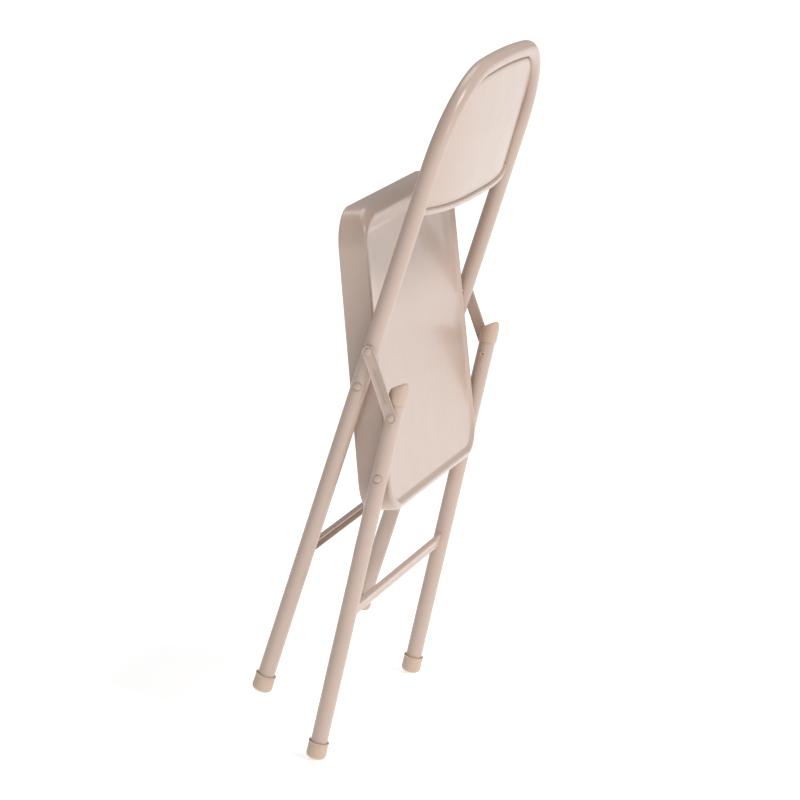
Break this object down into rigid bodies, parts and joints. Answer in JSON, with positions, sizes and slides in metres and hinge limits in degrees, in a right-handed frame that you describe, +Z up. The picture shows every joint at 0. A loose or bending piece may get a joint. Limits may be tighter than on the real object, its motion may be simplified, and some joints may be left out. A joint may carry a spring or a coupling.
{
  "type": "folding chair",
  "caption": "Steel folding chair nearly folded: tube frame that is both front legs and back, straight rear legs, pressed seat pan, curved back panel and side links.",
  "frame": {"origin": "on the floor, under the middle of the chair as it stands nearly folded on its rear feet", "axes": "+Z up, -Y the chair's front, +X the sitter's left"},
  "size_m": [0.4622, 0.292, 0.9062],
  "materials": {
    "frame_paint": "semi-gloss powder coat",
    "panel_paint": "semi-gloss powder coat",
    "rivet_paint": "semi-gloss powder coat",
    "foot_plastic": "satin moulded plastic"
  },
  "bodies": {
    "front_frame": {"front_frame_tube": "frame_paint", "back_panel": "panel_paint", "front_stretcher": "frame_paint", "front_foot_left": "foot_plastic", "front_foot_right": "foot_plastic", "seat_rivet_front_left": "rivet_paint", "seat_rivet_front_right": "rivet_paint", "link_rivet_upper_left": "rivet_paint", "link_rivet_upper_right": "rivet_paint"},
    "seat": {"seat_pan": "panel_paint", "seat_washer_front_left": "rivet_paint", "seat_washer_front_right": "rivet_paint", "seat_washer_rear_left": "rivet_paint", "seat_washer_rear_right": "rivet_paint"},
    "rear_frame": {"rear_leg_left": "frame_paint", "rear_leg_right": "frame_paint", "rear_stretcher": "frame_paint", "rear_foot_left": "foot_plastic", "rear_foot_right": "foot_plastic", "leg_top_cap_left": "foot_plastic", "leg_top_cap_right": "foot_plastic", "seat_rivet_rear_left": "rivet_paint", "seat_rivet_rear_right": "rivet_paint", "link_rivet_tail_left": "rivet_paint", "link_rivet_tail_right": "rivet_paint"},
    "link_left": {"link_left": "frame_paint", "link_rivet_lower_left": "rivet_paint"},
    "link_right": {"link_right": "frame_paint", "link_rivet_lower_right": "rivet_paint"}
  },
  "joints": [
    {"name": "seat_fold", "type": "hinge", "parent": "front_frame", "child": "seat", "pos_m": [0, 0.00101, 0.49769], "axis": [1, 0, 0], "range_deg": [-15, 91]},
    {"name": "rear_leg_swing", "type": "hinge", "parent": "seat", "child": "rear_frame", "pos_m": [0, 0.02666, 0.37963], "axis": [1, 0, 0], "range_deg": [-56.87, 9.79]},
    {"name": "link_left_swing", "type": "hinge", "parent": "front_frame", "child": "link_left", "pos_m": [0.214, 0.01624, 0.54374], "axis": [1, 0, 0], "range_deg": [-18.3, 108.52]},
    {"name": "link_right_swing", "type": "hinge", "parent": "front_frame", "child": "link_right", "pos_m": [-0.214, 0.01624, 0.54374], "axis": [1, 0, 0], "range_deg": [-18.3, 108.52]}
  ],
  "couplings": [
    {"joint": "rear_leg_swing", "follows": "seat_fold", "ratio": -0.6195},
    {"joint": "link_left_swing", "follows": "seat_fold", "ratio": 1.187},
    {"joint": "link_right_swing", "follows": "seat_fold", "ratio": 1.187}
  ]
}
